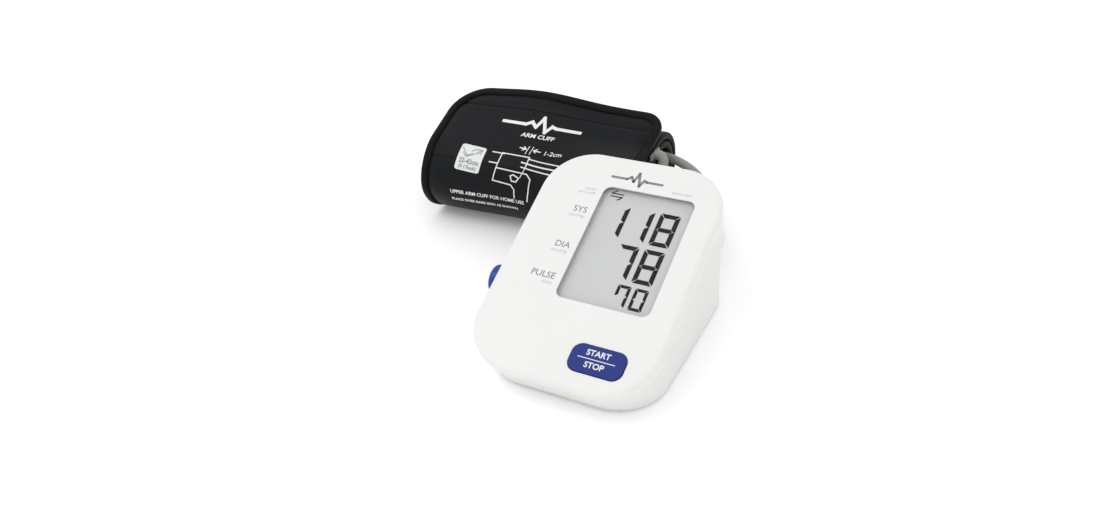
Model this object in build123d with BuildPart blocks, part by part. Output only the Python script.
from build123d import *
import math
import os

# Upper arm blood pressure monitor: a wedge-shaped desk monitor, its air hose and its rolled arm cuff.
# Millimetres, +Z up. X runs left to right across the monitor's face, Y from the user to the back.
# The origin is on the table, under the middle of the monitor and cuff taken together.
# The monitor is drawn on planes of its own, centred on its plan, and the cuff on the YZ plane.

os.makedirs("parts", exist_ok=True)

# ---------------------------------------------------------------- driving dimensions
mon_width = 103.0  # across the face
mon_depth = 129.0  # plan depth of the face
face_front_z = 21.1  # height of the face's front edge
face_rear_z = 75.4  # height of the face's rear edge
rim_r_front = 30.0  # corner radii of the face outline
rim_r_rear = 27.0
foot_inset_side = 3.3  # how far each wall leans in towards the base
foot_inset_front = 13.5
foot_outset_rear = 4.8
base_z = 0.8  # underside of the case; the rubber feet reach down to 0
wall = 2.2
cover_drop = 7.0  # the parting line lies this far below the face
cover_edge_r = 2.8

cuff_width = 146.0
cuff_length = 532.0
cuff_thick = 4.2
cuff_pitch = 5.0  # from one turn of the rolled cuff to the next
binding_w = 5.0
binding_proud = 0.3
cuff_gap_left = 37.0  # the cuff's right end is this far right of the monitor's left side
cuff_rear_y = 80.0  # from the monitor's rear rim edge to the back of the roll

hose_d = 5.5

# ---------------------------------------------------------------- the shared frame
cuff_left = -mon_width / 2 + cuff_gap_left - cuff_width  # in the monitor's own plan
total_width = mon_width / 2 - cuff_left
total_depth = mon_depth + cuff_rear_y
mx = total_width / 2 - mon_width / 2  # the monitor's plan centre in the part's frame
my = (mon_depth - total_depth) / 2


def level(z):
    """A horizontal plane centred on the monitor's plan."""
    return Plane(origin=(mx, my, z))


slope = math.degrees(math.atan2(face_rear_z - face_front_z, mon_depth))
face_length = mon_depth / math.cos(math.radians(slope))
face_mid_z = (face_front_z + face_rear_z) / 2
face_normal = (0, -math.sin(math.radians(slope)), math.cos(math.radians(slope)))


def face(h=0.0):
    """A plane parallel to the sloping face, h above it, with v running up the slope."""
    return Plane(origin=(mx, my, face_mid_z), x_dir=(1, 0, 0), z_dir=face_normal).offset(h)


def save(solid, name):
    """Label one finished piece and write its STEP file."""
    solid.label = name
    export_step(solid, f"parts/{name}.step")


def rounded_outline(width, y0, y1, r_front, r_rear):
    """A rectangle from y0 to y1 whose front and rear corners have their own radii."""
    with Locations((0, (y0 + y1) / 2)):
        Rectangle(width, y1 - y0)
    corners = vertices().sort_by(Axis.Y)
    fillet(corners[:2], r_front)
    fillet(vertices().sort_by(Axis.Y)[-2:], r_rear)


def hull(inset, z0, h):
    """The case's tapered outer form, shrunk all round by inset, from z0 up to the face plane plus h."""
    with BuildPart() as form:
        with BuildSketch(level(z0)):
            rounded_outline(
                mon_width - 2 * (foot_inset_side + inset),
                -mon_depth / 2 + foot_inset_front + inset,
                mon_depth / 2 + foot_outset_rear - inset,
                26.0 - inset,
                25.0 - inset,
            )
        with BuildSketch(face(h)):
            rounded_outline(
                mon_width - 2 * inset,
                -face_length / 2 + inset,
                face_length / 2 - inset,
                rim_r_front - inset,
                rim_r_rear - inset,
            )
        loft(ruled=True)
    return form.part


# ---------------------------------------------------------------- sizes on the face
win_x, win_v, win_w, win_h, win_r = 11.2, 12.3, 51.8, 71.5, 4.5
window_thick = 1.5
window_drop = 0.7  # the window sits a little below the face
window_lap = 1.5
btn_x, btn_v, btn_w, btn_h, btn_r = 21.8, -52.1, 28.7, 15.0, 5.2
btn_gap = 0.35
btn_proud = 0.7
btn_travel = 0.8
glass_w, glass_h, glass_thick = 54.6, 76.0, 2.8
glass_top = -3.4
frame_wall = 1.4
strip_l, strip_w, strip_pitch = 50.0, 2.0, 70.0
board_top = -10.4
board_thick = 1.6
board_back = board_top - board_thick
board_u, board_w, board_v0, board_v1 = 2.0, 74.0, -61.0, 62.0
cover_posts = [(-31.0, -44.0), (35.0, -40.0), (-31.0, 56.0), (34.0, 57.0)]
post_d = 5.0
board_screw_d, board_screw_l = 1.8, 6.0
switch_top = -6.9
stem_d = 3.2
sensor_u, sensor_v = -16.0, 24.0

# ---------------------------------------------------------------- sizes in the base
base_thick = 3.6
cell_d, cell_l, cell_pitch, cell_z = 14.2, 50.3, 15.2, 10.9
nub_l = 1.2
bay_w, bay_y0, bay_y1 = 63.0, -30.0, 24.5
bay_mid_y = (bay_y0 + bay_y1) / 2
bay_wall = 1.5
bay_roof_z = 18.8
hatch_w = bay_w + 3.0
hatch_thick = 2.0
hatch_y1 = bay_y1 + 2.0
hatch_gap = 0.2
groove_d, groove_z, groove_h = 1.0, 0.5, 1.1
column_xy = [(-44.0, -18.0), (44.0, -18.0), (-43.0, 33.0), (44.0, 33.0)]
column_d = 6.5
case_screw_d, case_head_d = 2.6, 4.6
case_seat = 5.5  # the screw heads bear this far below the parting line
case_screw_bite = 3.2
feet_xy = [(-40.0, -30.0), (40.0, -30.0), (-38.0, 55.0), (38.0, 55.0)]
foot_d, foot_thick = 9.0, 2.0
inlet_x, inlet_z, inlet_d, inlet_bore = 24.0, 16.0, 8.4, 5.6
inlet_mouth_y = 68.0

# ---------------------------------------------------------------- sizes of the air system
motor_x0, motor_l, motor_d, motor_y, motor_z = -36.0, 26.0, 24.0, 46.0, 18.0
shaft_d, shaft_play = 2.0, 0.06
crank_reach = 4.8
head_w, head_l = 25.0, 12.0
nipple_d = 4.0
valve_x0, valve_l, valve_w, valve_y, valve_z = 36.0, 18.0, 14.0, 46.0, 18.0
plunger_d = 5.0
plunger_travel = 1.2
hub_x0, hub_x1, hub_w = 5.2, 16.8, 10.0
leak_d, leak_l = 8.6, 8.0
plug_y, plug_z = -4.0, 25.0  # the air socket in the left wall
socket_d, socket_l, socket_face_x, socket_bore = 11.0, 16.0, -50.4, 5.4
plug_nose_l, plug_nose_d = 9.0, 5.2
plug_d, plug_x0, plug_x1 = 17.0, -51.0, -62.0
hose_x = -57.0  # the hose leaves the plug towards the back along this line
relief_l = 7.0
elbow_drop = 6.3
hose_tail = 5.0  # the stretch of hose that moves with the plug
seal_x, seal_d = 5.6, 0.8

# ---------------------------------------------------------------- sizes of the rolled cuff
cuff_right = cuff_left + cuff_width
tip_y, tip_z = mon_depth / 2 + 66.5, 68.2  # the free end lies over the roll
lean = 20.0  # how steeply the free end falls towards the front
front_r = 27.0
front_bulge_y = mon_depth / 2 + 6.0
rear_r, top_r = 36.3, 21.0
roll_rear_y = mon_depth / 2 + cuff_rear_y - binding_proud
tip_left_r, tip_right_r = 24.0, 13.0
hinge_gap = 0.3
cloth_t = 0.9
patch_t = 0.25
loop_s0, loop_s1 = 228.0, 254.0  # where the free end's hooks land on the roll


def face_z(y):
    """Height of the face plane at plan position y."""
    return face_mid_z + y * math.tan(math.radians(slope))


def parting_z(y):
    """Height of the parting line at plan position y."""
    return face_z(y) - cover_drop / math.cos(math.radians(slope))


face_axis = Axis((mx, my, face_mid_z), face_normal)


def side_plane(x, way):
    """A plane across X at the air socket, facing right (way 1) or left (way -1)."""
    return Plane(origin=(mx + x, my + plug_y, plug_z), x_dir=(0, 1, 0), z_dir=(way, 0, 0))


def rear_plane(y):
    """A plane across Y at the mains inlet, facing back."""
    return Plane(origin=(mx + inlet_x, my + y, inlet_z), x_dir=(-1, 0, 0), z_dir=(0, 1, 0))


def cross_plane(x):
    """A plane across the pump motor's shaft."""
    return Plane(origin=(mx + x, my + motor_y, motor_z), x_dir=(0, 1, 0), z_dir=(1, 0, 0))


def valve_plane(depth):
    """A plane across the valve's axis, depth in from its right-hand end."""
    return Plane(origin=(mx + valve_x0 - depth, my + valve_y, valve_z), x_dir=(0, 1, 0), z_dir=(-1, 0, 0))


# ---------------------------------------------------------------- case shells
with BuildPart() as screw_columns:  # as tall as the case, cut back by the cavities that they stand in
    with BuildSketch(level(base_z)):
        with Locations(*column_xy):
            Circle(column_d / 2)
    extrude(amount=face_rear_z)

with BuildPart() as cover_cavity:
    add(hull(wall, base_z, -wall))
    add(screw_columns.part, mode=Mode.SUBTRACT)

with BuildPart() as front_cover:
    add(hull(0.0, base_z, 0.0))
    fillet(faces().sort_by(face_axis)[-1].edges(), cover_edge_r)
    split(bisect_by=face(-cover_drop), keep=Keep.TOP)
    add(cover_cavity.part, mode=Mode.SUBTRACT)
    with BuildSketch(face(1.0)):
        with Locations((win_x, win_v)):
            RectangleRounded(win_w, win_h, win_r)
        with Locations((btn_x, btn_v)):
            RectangleRounded(btn_w + 2 * btn_gap, btn_h + 2 * btn_gap, btn_r + btn_gap)
    extrude(amount=-wall - 2.0, mode=Mode.SUBTRACT)
    with BuildSketch(face(-window_drop)):
        with Locations((win_x, win_v)):
            RectangleRounded(win_w + 2 * window_lap, win_h + 2 * window_lap, win_r + window_lap)
    extrude(amount=-wall, mode=Mode.SUBTRACT)
    with BuildSketch(face(-wall)):
        with Locations(*cover_posts):
            Circle(post_d / 2)
    extrude(amount=board_top + wall)
    with BuildSketch(face(board_top)):
        with Locations(*cover_posts):
            Circle(board_screw_d / 2)
    extrude(amount=board_screw_l, mode=Mode.SUBTRACT)
    for x, y in column_xy:
        with Locations((mx + x, my + y, parting_z(y))):
            Cylinder(case_screw_d / 2, 2 * case_screw_bite, mode=Mode.SUBTRACT)

with BuildPart() as case_cavity:
    add(hull(wall, base_z + base_thick, 2.0))
    add(screw_columns.part, mode=Mode.SUBTRACT)
    with BuildSketch(level(base_z)):
        with Locations((0, bay_mid_y)):
            Rectangle(bay_w + 2 * bay_wall, bay_y1 - bay_y0 + 2 * bay_wall)
    extrude(amount=bay_roof_z + bay_wall - base_z, mode=Mode.SUBTRACT)

with BuildPart() as lower_case:
    add(hull(0.0, base_z, 0.0))
    split(bisect_by=face(-cover_drop), keep=Keep.BOTTOM)
    add(case_cavity.part, mode=Mode.SUBTRACT)
    with BuildSketch(level(base_z)):
        with Locations((0, bay_mid_y)):
            Rectangle(bay_w, bay_y1 - bay_y0)
    extrude(amount=bay_roof_z - base_z, mode=Mode.SUBTRACT)
    # the hatch's channel, open at the front, and the groove along each of its sides
    with BuildSketch(level(base_z)):
        with Locations((0, hatch_y1 - mon_depth / 2)):
            Rectangle(hatch_w, mon_depth)
    extrude(amount=hatch_thick, mode=Mode.SUBTRACT)
    with BuildSketch(level(base_z + groove_z)):
        with Locations((0, hatch_y1 - mon_depth / 2)):
            Rectangle(hatch_w + 2 * groove_d, mon_depth)
    extrude(amount=groove_h, mode=Mode.SUBTRACT)
    with BuildSketch(level(0)):
        with Locations(*feet_xy):
            Circle(foot_d / 2 + 0.1)
    extrude(amount=foot_thick, mode=Mode.SUBTRACT)
    for x, y in column_xy:
        seat = parting_z(y) - case_seat
        with Locations((mx + x, my + y, parting_z(y))):
            Cylinder(case_screw_d / 2 + 0.2, 3 * case_seat, mode=Mode.SUBTRACT)
        with Locations((mx + x, my + y, seat / 2)):
            Cylinder(case_head_d / 2 + 0.3, seat, mode=Mode.SUBTRACT)
    with BuildSketch(side_plane(-mon_width / 2 - 5, -1)):
        Circle(socket_d / 2)
    extrude(amount=-12, mode=Mode.SUBTRACT)
    with BuildSketch(rear_plane(mon_depth / 2 + 8)):
        Circle(inlet_d / 2)
    extrude(amount=-14, mode=Mode.SUBTRACT)

with BuildPart() as battery_cover:
    with BuildSketch(level(base_z)):
        with Locations((0, hatch_y1 - hatch_gap - mon_depth / 2)):
            Rectangle(hatch_w - 2 * hatch_gap, mon_depth)
    extrude(amount=hatch_thick - hatch_gap)
    with BuildSketch(level(base_z + groove_z + hatch_gap)):
        with Locations((0, hatch_y1 - hatch_gap - mon_depth / 2)):
            Rectangle(hatch_w + 2 * groove_d - 2 * hatch_gap, mon_depth)
    extrude(amount=groove_h - 2 * hatch_gap)
    add(hull(0.0, base_z, 0.0), mode=Mode.INTERSECT)
    with BuildSketch(level(base_z)):
        with Locations((0, -36.0)):
            with GridLocations(0, 2.4, 1, 4):
                Rectangle(18.0, 1.2)
    extrude(amount=0.6, mode=Mode.SUBTRACT)

save(front_cover.part, "front_cover")
save(lower_case.part, "lower_case")
save(battery_cover.part, "battery_cover")

# ---------------------------------------------------------------- window, display and its frame
with BuildPart() as display_window:
    with BuildSketch(face(-window_drop - 0.05)):
        with Locations((win_x, win_v)):
            RectangleRounded(win_w + 2 * window_lap - 0.3, win_h + 2 * window_lap - 0.3, win_r + window_lap)
    extrude(amount=-window_thick + 0.1)
save(display_window.part, "display_window")

with BuildPart() as display_glass:
    with BuildSketch(face(glass_top)):
        with Locations((win_x, win_v)):
            Rectangle(glass_w, glass_h)
    extrude(amount=-glass_thick)
save(display_glass.part, "display_glass")

with BuildPart() as display_frame:
    with BuildSketch(face(-wall - 0.3)):
        with Locations((win_x, win_v)):
            RectangleRounded(glass_w + 2 * frame_wall, glass_h + 2 * frame_wall, 2.0)
            Rectangle(glass_w + 0.2, glass_h + 0.2, mode=Mode.SUBTRACT)
    extrude(amount=board_top + wall + 0.5)
    with BuildSketch(face(glass_top - glass_thick - 0.1)):
        with Locations((win_x, win_v)):
            Rectangle(glass_w + 1.0, glass_h + 1.0)
            Rectangle(glass_w - 6.0, glass_h - 8.0, mode=Mode.SUBTRACT)
            with GridLocations(0, strip_pitch, 1, 2):
                Rectangle(strip_l + 0.4, strip_w + 0.4, mode=Mode.SUBTRACT)
    extrude(amount=-1.0)
save(display_frame.part, "display_frame")

with BuildPart() as contact_strips:
    with BuildSketch(face(glass_top - glass_thick)):
        with Locations((win_x, win_v)):
            with GridLocations(0, strip_pitch, 1, 2):
                Rectangle(strip_l, strip_w)
    extrude(amount=board_top - glass_top + glass_thick)
save(contact_strips.part, "contact_strips")

# ---------------------------------------------------------------- start button and its switch
with BuildPart() as start_button:
    with BuildSketch(face(btn_proud)):
        with Locations((btn_x, btn_v)):
            RectangleRounded(btn_w, btn_h, btn_r)
    extrude(amount=-btn_proud - wall - 0.8)
    fillet(faces().sort_by(face_axis)[-1].edges(), 0.6)
    with BuildSketch(face(-wall - 0.15)):
        with Locations((btn_x, btn_v)):
            RectangleRounded(btn_w + 3.0, btn_h + 3.0, btn_r + 1.5)
    extrude(amount=-1.2)
    with BuildSketch(face(-wall - 1.0)):
        with Locations((btn_x, btn_v)):
            Circle(2.2)
    extrude(amount=switch_top + wall + 1.0 + 0.3)
save(start_button.part, "start_button")

with BuildPart() as switch_body:
    with BuildSketch(face(board_top)):
        with Locations((btn_x, btn_v)):
            Rectangle(6.2, 6.2)
    extrude(amount=switch_top - board_top - 0.5)
    with BuildSketch(face(switch_top)):
        with Locations((btn_x, btn_v)):
            Circle(stem_d / 2 + 0.1)
    extrude(amount=-btn_travel - 1.6, mode=Mode.SUBTRACT)
save(switch_body.part, "switch_body")

with BuildPart() as switch_plunger:
    with BuildSketch(face(switch_top + 0.25)):
        with Locations((btn_x, btn_v)):
            Circle(stem_d / 2)
    extrude(amount=-1.4)
save(switch_plunger.part, "switch_plunger")

# ---------------------------------------------------------------- main board and what is on it
with BuildPart() as main_board:
    with BuildSketch(face(board_top)):
        with Locations((board_u, 0)):
            rounded_outline(board_w, board_v0, board_v1, 22.0, 14.0)
        with Locations(*cover_posts):
            Circle(board_screw_d / 2 + 0.2, mode=Mode.SUBTRACT)
    extrude(amount=-board_thick)
save(main_board.part, "main_board")

with BuildPart() as board_chips:
    with BuildSketch(face(board_back)):
        with Locations((5.0, 0.0)):
            Rectangle(12.0, 12.0)
    extrude(amount=-1.5)
    with BuildSketch(face(board_back)):
        with Locations((22.0, 4.0), (-14.0, -8.0)):
            Rectangle(6.0, 5.0)
    extrude(amount=-1.2)
    with BuildSketch(face(board_back)):
        with Locations((20.0, 20.0), (28.0, 20.0)):
            Circle(2.6)
    extrude(amount=-7.0)
save(board_chips.part, "board_chips")

with BuildPart() as pressure_sensor:
    with BuildSketch(face(board_back)):
        with Locations((sensor_u, sensor_v)):
            Rectangle(9.0, 9.0)
    extrude(amount=-4.5)
    with BuildSketch(face(board_back - 4.5)):
        with Locations((sensor_u, sensor_v)):
            Circle(nipple_d / 2)
    extrude(amount=-4.0)
save(pressure_sensor.part, "pressure_sensor")

with BuildPart() as board_screws:
    with BuildSketch(face(board_back)):
        with Locations(*cover_posts):
            Circle(1.9)
    extrude(amount=-1.2)
    with BuildSketch(face(board_back)):
        with Locations(*cover_posts):
            Circle(board_screw_d / 2 - 0.05)
    extrude(amount=board_thick + board_screw_l - 0.5)
save(board_screws.part, "board_screws")

# ---------------------------------------------------------------- power
for i in range(4):
    way = 1 if i % 2 == 0 else -1
    end_y = bay_mid_y - way * cell_l / 2
    cell_start = Plane(
        origin=(mx + (i - 1.5) * cell_pitch, my + end_y, cell_z), x_dir=(1, 0, 0), z_dir=(0, way, 0)
    )
    with BuildPart() as battery:
        with BuildSketch(cell_start):
            Circle(cell_d / 2)
        extrude(amount=cell_l - nub_l)
        chamfer(edges(), 0.5)
        with BuildSketch(cell_start.offset(cell_l - nub_l)):
            Circle(2.7)
        extrude(amount=nub_l)
    save(battery.part, f"battery_{i + 1}")

with BuildPart() as contact_plates:
    for i in range(4):
        way = 1 if i % 2 == 0 else -1
        y = bay_y1 - 0.2 if way == 1 else bay_y0 + 0.2
        with Locations((mx + (i - 1.5) * cell_pitch, my + y, cell_z)):
            Box(10.0, 0.4, 10.0)
save(contact_plates.part, "contact_plates")

spring_w = 6.0
spring_outline = ((0, -5), (0, 5), (0.4, 5), (0.4, 3.4), (1.7, 0), (0.4, -3.4), (0.4, -5))
with BuildPart() as contact_springs:
    for i in range(4):
        way = 1 if i % 2 == 0 else -1
        y_wall = bay_y0 if way == 1 else bay_y1
        foot = (mx + (i - 1.5) * cell_pitch - spring_w / 2, my + y_wall, cell_z)
        with BuildSketch(Plane(origin=foot, x_dir=(0, way, 0), z_dir=(1, 0, 0))):
            with BuildLine():
                Polyline(spring_outline, close=True)
            make_face()
        extrude(amount=spring_w)
save(contact_springs.part, "contact_springs")

with BuildPart() as power_inlet:
    with BuildSketch(rear_plane(inlet_mouth_y)):
        Circle(inlet_d / 2 - 0.1)
    extrude(amount=-3.4)
    with BuildSketch(rear_plane(inlet_mouth_y - 3.4)):
        Rectangle(11.0, 11.0)
    extrude(amount=-10.0)
    with BuildSketch(rear_plane(inlet_mouth_y)):
        Circle(inlet_bore / 2)
    extrude(amount=-9.0, mode=Mode.SUBTRACT)
    with BuildSketch(rear_plane(inlet_mouth_y - 9.0)):
        Circle(1.05)
    extrude(amount=8.0)
save(power_inlet.part, "power_inlet")

# ---------------------------------------------------------------- pump and valves
with BuildPart() as motor_can:
    with BuildSketch(cross_plane(motor_x0)):
        Circle(motor_d / 2)
    extrude(amount=motor_l)
    with BuildSketch(cross_plane(motor_x0 + 1.0)):
        Circle(motor_d / 2 - 1.2)
    extrude(amount=motor_l - 2.0, mode=Mode.SUBTRACT)
    with BuildSketch(cross_plane(motor_x0)):
        Circle(shaft_d / 2 + shaft_play)
    extrude(amount=motor_l, mode=Mode.SUBTRACT)
save(motor_can.part, "motor_can")

with BuildPart() as motor_rotor:
    with BuildSketch(cross_plane(motor_x0 - 1.5)):
        Circle(shaft_d / 2)
    extrude(amount=motor_l + 1.5 + crank_reach)
    with BuildSketch(cross_plane(motor_x0 + 5.0)):
        Circle(motor_d / 2 - 3.6)
        with PolarLocations(motor_d / 2 - 5.2, 3):
            Rectangle(2.6, 1.2, mode=Mode.SUBTRACT)
    extrude(amount=motor_l - 10.0)
    with BuildSketch(cross_plane(motor_x0 + motor_l + 1.0)):
        Circle(4.6)
    extrude(amount=2.2)
    with BuildSketch(cross_plane(motor_x0 + motor_l + 3.2)):
        with Locations((0, -2.4)):  # the crank pin hangs at the bottom
            Circle(1.3)
    extrude(amount=1.6)
save(motor_rotor.part, "motor_rotor")

with BuildPart() as pump_head:
    with BuildSketch(cross_plane(motor_x0 + motor_l)):
        RectangleRounded(head_w, head_w, 5.0)
    extrude(amount=head_l)
    with BuildSketch(cross_plane(motor_x0 + motor_l)):
        Circle(6.0)
    extrude(amount=6.0, mode=Mode.SUBTRACT)
    with BuildSketch(cross_plane(motor_x0 + motor_l + head_l)):
        Circle(head_w / 2 - 3.0)
    extrude(amount=2.0)
    with BuildSketch(cross_plane(motor_x0 + motor_l + head_l + 2.0)):
        Circle(nipple_d / 2)
    extrude(amount=4.0)
save(pump_head.part, "pump_head")

with BuildPart() as pump_cradle:
    with BuildSketch(cross_plane(motor_x0 + 4.0)):
        with Locations((0, (base_z + base_thick - motor_z) / 2)):
            Rectangle(motor_d + 5.0, motor_z - base_z - base_thick)
        Circle(motor_d / 2 + 0.05, mode=Mode.SUBTRACT)
    extrude(amount=motor_l - 8.0)
save(pump_cradle.part, "pump_cradle")

with BuildPart() as valve_body:
    with BuildSketch(valve_plane(0)):
        Rectangle(valve_w, valve_w)
    extrude(amount=valve_l)
    fillet(edges().filter_by(Axis.X), 1.5)
    with BuildSketch(valve_plane(-1)):
        Circle(plunger_d / 2 + 0.08)
    extrude(amount=valve_l - 4.0, mode=Mode.SUBTRACT)
    with BuildSketch(valve_plane(valve_l)):
        Circle(nipple_d / 2)
    extrude(amount=4.0)
    with BuildSketch(Plane(origin=(mx + valve_x0 - valve_l / 2, my + valve_y, base_z + base_thick))):
        Rectangle(valve_w, valve_w - 2.0)
    extrude(amount=valve_z - valve_w / 2 - base_z - base_thick)
save(valve_body.part, "valve_body")

with BuildPart() as valve_plunger:
    with BuildSketch(valve_plane(-2.6)):
        Circle(plunger_d / 2)
    extrude(amount=valve_l - 4.0)
    with BuildSketch(valve_plane(-2.6)):
        Circle(plunger_d / 2 + 1.0)
    extrude(amount=-1.0)
save(valve_plunger.part, "valve_plunger")

with BuildPart() as air_socket:
    with BuildSketch(side_plane(socket_face_x, -1)):
        Circle(socket_d / 2 - 0.1)
    extrude(amount=-socket_l)
    with BuildSketch(side_plane(socket_face_x + 3.4, -1)):
        Circle(socket_d / 2 + 1.6)
    extrude(amount=-1.4)
    with BuildSketch(side_plane(socket_face_x, -1)):
        Circle(socket_bore / 2)
    extrude(amount=-plug_nose_l - 0.5, mode=Mode.SUBTRACT)
    with BuildSketch(side_plane(socket_face_x + socket_l, -1)):
        Circle(nipple_d / 2)
    extrude(amount=-4.0)
save(air_socket.part, "air_socket")


def soft_tube(*points, bend):
    """A short internal air tube with its bore, along straight runs and tangent bends."""
    with BuildPart() as tube:
        with BuildLine() as path:
            FilletPolyline(*[(mx + x, my + y, z) for x, y, z in points], radius=bend)
        with BuildSketch(Plane(origin=path.line @ 0, z_dir=path.line % 0)):
            Circle(nipple_d / 2 + 1.0)
            Circle(nipple_d / 2 + 0.02, mode=Mode.SUBTRACT)
        sweep()
    return tube.part


with BuildPart() as air_hub:
    with BuildSketch(cross_plane(hub_x0)):
        RectangleRounded(hub_w, hub_w, 2.0)
    extrude(amount=hub_x1 - hub_x0)
    with BuildSketch(cross_plane(hub_x0)):
        Circle(nipple_d / 2 + 0.02)
    extrude(amount=hub_x1 - hub_x0, mode=Mode.SUBTRACT)
    hub_mid = (hub_x0 + hub_x1) / 2
    with BuildSketch(Plane(origin=(mx + hub_mid, my + motor_y, motor_z + hub_w / 2))):
        Circle(nipple_d / 2)
    extrude(amount=4.0)
    with BuildSketch(Plane(origin=(mx + hub_mid, my + motor_y - hub_w / 2, motor_z), z_dir=(0, -1, 0))):
        Circle(nipple_d / 2)
    extrude(amount=4.0)
save(air_hub.part, "air_hub")

with BuildPart() as leak_valve:
    with BuildSketch(Plane(origin=(mx + hub_mid, my + motor_y + hub_w / 2, motor_z), z_dir=(0, 1, 0))):
        Circle(leak_d / 2)
    extrude(amount=leak_l)
    fillet(faces().sort_by(Axis.Y)[-1].edges(), 1.0)
save(leak_valve.part, "leak_valve")

hub_front = motor_y - hub_w / 2
socket_tube = soft_tube(
    (socket_face_x + socket_l + 0.6, plug_y, plug_z),
    (-22.0, plug_y, plug_z),
    (-6.0, 14.0, plug_z + 0.5),
    (hub_mid, 26.0, 25.5),
    (hub_mid, hub_front - 7.0, motor_z),
    (hub_mid, hub_front - 0.2, motor_z),
    bend=3.0,
)
save(socket_tube, "socket_tube")

sensor_tip = face(board_back - 8.0).location * Location((sensor_u, sensor_v, 0))
tip = sensor_tip.position - Vector(mx, my, 0)
down = Vector(*face_normal) * -1
sensor_tube = soft_tube(
    tuple(tip + down * -3.2),
    tuple(tip + down * 5.0),
    (hub_mid, motor_y - 4.0, motor_z + 20.0),
    (hub_mid, motor_y, motor_z + 12.0),
    (hub_mid, motor_y, motor_z + hub_w / 2 + 0.2),
    bend=3.0,
)
save(sensor_tube, "sensor_tube")

# ---------------------------------------------------------------- fasteners and feet
with BuildPart() as case_screws:
    for x, y in column_xy:
        seat = parting_z(y) - case_seat
        with Locations((mx + x, my + y, seat - 0.9)):
            Cylinder(case_head_d / 2, 1.8)
        with Locations((mx + x, my + y, seat + (case_seat + case_screw_bite - 0.4) / 2 - 0.05)):
            Cylinder(case_screw_d / 2 - 0.04, case_seat + case_screw_bite - 0.5)
        with Locations((mx + x, my + y, seat - 1.3)):
            Box(2.8, 0.7, 1.2, mode=Mode.SUBTRACT)
            Box(0.7, 2.8, 1.2, mode=Mode.SUBTRACT)
save(case_screws.part, "case_screws")

with BuildPart() as rubber_feet:
    with BuildSketch(level(0)):
        with Locations(*feet_xy):
            Circle(foot_d / 2)
    extrude(amount=foot_thick)
    chamfer(faces().group_by(Axis.Z)[0].edges(), 0.4)
save(rubber_feet.part, "rubber_feet")

# ---------------------------------------------------------------- air plug
with BuildPart() as air_plug:
    with BuildSketch(side_plane(plug_x0, -1)):
        Circle(plug_d / 2)
    extrude(amount=plug_x0 - plug_x1)
    fillet(faces().sort_by(Axis.X)[0].edges(), 2.4)
    fillet(faces().sort_by(Axis.X)[-1].edges(), 0.8)
    with BuildSketch(side_plane(plug_x0, 1)):
        Circle(plug_nose_d / 2)
    extrude(amount=plug_nose_l)
    chamfer(faces().sort_by(Axis.X)[-1].edges(), 0.5)
    with BuildSketch(Plane(origin=(mx + hose_x, my + plug_y, plug_z), x_dir=(1, 0, 0), z_dir=(0, 1, 0))):
        Circle(4.3)
    extrude(amount=plug_d / 2 + 1.6)
    with BuildSketch(side_plane(plug_x0 + seal_x, 1)):
        Circle(plug_nose_d / 2 + 1.0)
        Circle(plug_nose_d / 2 - seal_d, mode=Mode.SUBTRACT)
    extrude(amount=1.2, mode=Mode.SUBTRACT)
save(air_plug.part, "air_plug")

with BuildPart() as plug_seal:
    with BuildSketch(side_plane(plug_x0 + seal_x + 0.1, 1)):
        Circle(plug_nose_d / 2 + 0.04)
        Circle(plug_nose_d / 2 - seal_d + 0.02, mode=Mode.SUBTRACT)
    extrude(amount=1.0)
save(plug_seal.part, "plug_seal")

relief_y = plug_y + plug_d / 2 + 1.6
with BuildPart() as plug_relief:
    with BuildSketch(Plane(origin=(mx + hose_x, my + relief_y, plug_z), x_dir=(1, 0, 0), z_dir=(0, 1, 0))):
        Circle(3.9)
    with BuildSketch(Plane(origin=(mx + hose_x, my + relief_y + relief_l, plug_z), x_dir=(1, 0, 0),
                           z_dir=(0, 1, 0))):
        Circle(hose_d / 2 + 0.3)
    loft()
save(plug_relief.part, "plug_relief")

# ---------------------------------------------------------------- rolled cuff
# The roll is one line of straight stretches and tangent arcs in the YZ plane: the outer face of the
# outermost turn, from the free end forwards, down, back under and up, each turn a pitch further in.


def heading(angle):
    """Unit vector along a heading, and the one that points into the roll."""
    a = math.radians(angle)
    return Vector(math.cos(a), math.sin(a)), Vector(-math.sin(a), math.cos(a))


def roll_pieces():
    """Every stretch of the roll's outer face line, as (radius, angle) or (0, length)."""
    along, inward = heading(180 + lean)
    tip = Vector(tip_y, tip_z)
    front_top = Vector(front_bulge_y + front_r, front_r + binding_proud) - inward * front_r
    top = Vector(roll_rear_y - top_r, rear_r + binding_proud + top_r)
    pieces = [(0.0, (front_top - tip).dot(along))]
    for n in range(3):
        shrink = n * cuff_pitch
        next_line = tip + inward * (shrink + cuff_pitch)
        top_n = top - Vector(0, shrink)
        over_r = (top_n - next_line).dot(inward) / (1 - math.cos(math.radians(lean)))
        link = (front_top + inward * (shrink + cuff_pitch) - top_n).dot(along)
        link -= over_r * math.sin(math.radians(lean))
        pieces += [
            (front_r - shrink, 180.0 - lean),
            (0.0, roll_rear_y - rear_r - front_bulge_y - front_r),
            (rear_r - shrink, 90.0),
            (top_r - shrink, 90.0),
            (over_r, lean),
            (0.0, link),
        ]
    return pieces


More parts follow.
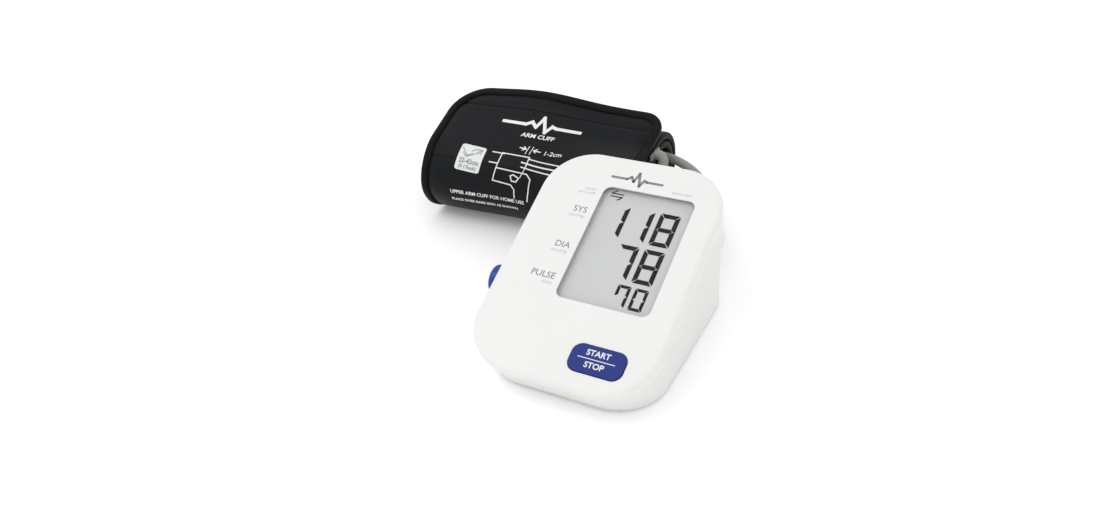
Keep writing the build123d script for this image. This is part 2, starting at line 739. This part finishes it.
def roll_stretches(s0, s1):
    """The stretches between two lengths along the roll: start point, heading, radius and amount."""
    at, angle, done = Vector(tip_y, tip_z), 180.0 + lean, 0.0
    stretches = []
    for radius, amount in roll_pieces():
        length = radius * math.radians(amount) if radius else amount
        a, b = (min(max(s - done, 0.0), length) for s in (s0, s1))
        for start, stop, keep in ((0.0, a, False), (a, b, True), (b, length, False)):
            if stop <= start:
                continue
            along, inward = heading(angle)
            part = math.degrees((stop - start) / radius) if radius else stop - start
            if keep:
                stretches.append((at, angle, radius, part))
            if radius:
                centre = at + inward * radius
                angle += part
                at = centre - heading(angle)[1] * radius
            else:
                at = at + along * part
        done += length
    return stretches


def roll_edge(stretch, depth):
    """Start, middle and end of one stretch, depth in from the outer face."""
    at, angle, radius, amount = stretch
    points = []
    for share in (0.0, 0.5, 1.0):
        if radius:
            centre = at + heading(angle)[1] * radius
            points.append(centre - heading(angle + share * amount)[1] * (radius - depth))
        else:
            along, inward = heading(angle)
            points.append(at + along * (share * amount) + inward * depth)
    return points


def roll_band(s0, s1, depth0, depth1, x0, x1):
    """A layer of the roll between two lengths, two depths and two X positions."""
    stretches = roll_stretches(s0, s1)
    with BuildPart() as layer:
        with BuildSketch(Plane(origin=(mx + x0, my, 0), x_dir=(0, 1, 0), z_dir=(1, 0, 0))):
            with BuildLine():
                for depth in (depth0, depth1):
                    for stretch in stretches:
                        start, middle, end = roll_edge(stretch, depth)
                        if stretch[2]:
                            ThreePointArc(start, middle, end)
                        else:
                            Line(start, end)
                for stretch, end in ((stretches[0], 0), (stretches[-1], 2)):
                    Line(roll_edge(stretch, depth0)[end], roll_edge(stretch, depth1)[end])
            make_face()
        extrude(amount=x1 - x0)
    return layer.part


tail_l = roll_pieces()[0][1]
flap_l = tail_l - 1.0
cloth_x0, cloth_x1 = cuff_left + binding_w, cuff_right - binding_w
flap_mid_x = mx + (cuff_left + cuff_right) / 2
out = heading(180 + lean)[1] * -1


def flap_plane(depth):
    """The free end's flat face, with local y running up to the tip, depth in from the outer face."""
    tip = Vector(flap_mid_x, my + tip_y, tip_z)
    normal = Vector(0, out.X, out.Y)
    return Plane(origin=tip - normal * depth, x_dir=(1, 0, 0), z_dir=normal)


def flap_outline(inset):
    """The free end's outline with its two round corners, open towards the roll."""
    with Locations((0, -(flap_l + inset) / 2)):
        Rectangle(cuff_width - 2 * inset, flap_l - inset)
    for side, corner in ((0, tip_left_r), (-1, tip_right_r)):
        fillet(vertices().sort_by(Axis.Y)[-2:].sort_by(Axis.X)[side], corner - inset)


def flap_layer(inset, depth0, depth1):
    """A flat layer of the free end."""
    with BuildPart() as layer:
        with BuildSketch(flap_plane(depth0)):
            flap_outline(inset)
        extrude(amount=depth0 - depth1)
    return layer.part


print("free end length", round(flap_l, 3))
save(flap_layer(binding_w, 0.0, cloth_t), "flap_outer_cloth")
save(flap_layer(binding_w, cuff_thick - cloth_t, cuff_thick), "flap_inner_cloth")
with BuildPart() as flap_binding:
    add(flap_layer(0.0, -binding_proud, cuff_thick + binding_proud))
    add(flap_layer(binding_w, -2.0, cuff_thick + 2.0), mode=Mode.SUBTRACT)
save(flap_binding.part, "flap_binding")
with BuildPart() as hook_patch:
    with BuildSketch(flap_plane(cuff_thick)):
        with Locations((0, -22.0)):
            RectangleRounded(cuff_width - 36.0, 28.0, 5.0)
    extrude(amount=-patch_t)
save(hook_patch.part, "hook_patch")

roll_s0, roll_s1 = flap_l + hinge_gap, cuff_length
save(roll_band(roll_s0, roll_s1 - binding_w, 0.0, cloth_t, cloth_x0, cloth_x1), "roll_outer_cloth")
save(roll_band(roll_s0, roll_s1 - binding_w, cuff_thick - cloth_t, cuff_thick, cloth_x0, cloth_x1),
     "roll_inner_cloth")
save(roll_band(150.0, 420.0, 1.1, 2.0, cloth_x0 + 4.0, cloth_x1 - 4.0), "air_bladder")
save(roll_band(120.0, 480.0, 2.3, 2.9, cloth_x0 + 3.0, cloth_x1 - 3.0), "cuff_curler")
save(roll_band(loop_s0, loop_s1, -patch_t, 0.0, cloth_x0 + 10.0, cloth_x1 - 10.0), "loop_patch")
with BuildPart() as roll_binding:
    for x in (cuff_left, cuff_right - binding_w):
        add(roll_band(roll_s0, roll_s1, -binding_proud, cuff_thick + binding_proud, x, x + binding_w))
    add(roll_band(roll_s1 - binding_w, roll_s1, -binding_proud, cuff_thick + binding_proud,
                  cloth_x0, cloth_x1))
save(roll_binding.part, "roll_binding")

# ---------------------------------------------------------------- the hose and its cuff elbow
elbow_y = mon_depth / 2 + 44.5
elbow_z = tip_z - (tip_y - elbow_y) * math.tan(math.radians(lean)) - (
    cuff_pitch + cuff_thick / 2
) / math.cos(math.radians(lean))
elbow_corner = Vector(cuff_right + 6.5, elbow_y, elbow_z)
first_turn = Vector(-7.6, 102.0, 35.0)
elbow_end = elbow_corner + (first_turn - elbow_corner).normalized() * elbow_drop
with BuildPart() as cuff_elbow:
    with Locations((mx + cuff_right + 0.7, my + elbow_y, elbow_z)):
        Box(1.2, 12.0, 3.4)
    with BuildLine() as elbow_path:
        FilletPolyline(
            (mx + cuff_right + 1.0, my + elbow_y, elbow_z),
            elbow_corner + Vector(mx, my, 0),
            elbow_end + Vector(mx, my, 0),
            radius=4.0,
        )
    with BuildSketch(Plane(origin=elbow_path.line @ 0, z_dir=elbow_path.line % 0)):
        Circle(hose_d / 2 + 0.25)
    sweep()
save(cuff_elbow.part, "cuff_elbow")

# The hose's route in the monitor's plan: from the cuff's elbow down behind the monitor, into the roll
# and back in one fold, out again, under the roll's belly and along the monitor's left side to the plug.
hose_route = [
    tuple(elbow_end),
    tuple(first_turn),
    (-6.0, 90.5, 24.0),
    (4.0, 82.5, 14.0),
    (17.5, 85.5, 6.5),
    (26.5, 98.0, 3.5),
    (25.0, 113.0, 4.0),
    (14.5, 124.0, 8.5),
    (-1.5, 124.0, 17.5),
    (-17.0, 118.0, 23.5),
    (-41.0, 110.0, 20.5),
    (-67.0, 103.5, 19.0),
    (-92.0, 99.0, 18.5),
    (-115.0, 97.0, 18.5),
    (-135.0, 96.5, 18.5),
    (-147.0, 106.0, 24.0),
    (-147.5, 120.0, 32.0),
    (-136.0, 130.5, 38.0),
    (-113.0, 130.5, 38.5),
    (-88.0, 129.0, 38.0),
    (-62.0, 129.5, 38.5),
    (-37.0, 129.0, 40.0),
    (-15.0, 126.0, 43.0),
    (2.0, 120.5, 42.0),
    (16.0, 113.0, 36.5),
    (26.5, 101.0, 28.5),
    (29.0, 87.0, 19.0),
    (19.0, 76.0, 9.5),
    (2.0, 75.0, 3.5),
    (-16.0, 75.5, 3.0),
    (-33.0, 75.0, 3.0),
    (-48.5, 67.5, 3.0),
    (-58.0, 54.5, 3.5),
    (-59.5, 42.0, 13.0),
    (hose_x, 29.0, plug_z),
    (hose_x, relief_y + relief_l, plug_z),
]


def bend_radii(points):
    """The largest tangent arc that each corner's two runs leave room for."""
    radii = []
    for before, corner, after in zip(points, points[1:], points[2:]):
        run_in, run_out = Vector(*corner) - Vector(*before), Vector(*after) - Vector(*corner)
        half_turn = math.radians(run_in.get_angle(run_out)) / 2
        radii.append(0.45 * min(run_in.length, run_out.length) / math.tan(half_turn))
    return radii


hose_points = [(mx + x, my + y, z) for x, y, z in hose_route]
hose_radii = bend_radii(hose_points)
with BuildPart() as hose:
    with BuildLine() as hose_path:
        FilletPolyline(*hose_points, radius=hose_radii)
    with BuildSketch(Plane(origin=hose_path.line @ 0, z_dir=hose_path.line % 0)):
        Circle(hose_d / 2)
    sweep()

tail_cut = Plane(origin=(mx + hose_x, my + relief_y + relief_l + hose_tail, plug_z), z_dir=(0, 1, 0))
with BuildPart() as hose_tube:
    add(hose.part)
    split(bisect_by=tail_cut, keep=Keep.TOP)
save(hose_tube.part, "hose_tube")
with BuildPart() as hose_plug_end:
    add(hose.part)
    split(bisect_by=tail_cut, keep=Keep.BOTTOM)
save(hose_plug_end.part, "hose_plug_end")

print("hose bend radii", [round(r, 1) for r in hose_radii])
print("hose length", round(hose_path.wires()[0].length, 1))
print("hose volume over section times length",
      round(hose.part.volume / (math.pi * (hose_d / 2) ** 2 * hose_path.wires()[0].length), 4))
print("monitor centre", round(mx, 3), round(my, 3), "cuff", cuff_left, cuff_right, "slope", round(slope, 3))
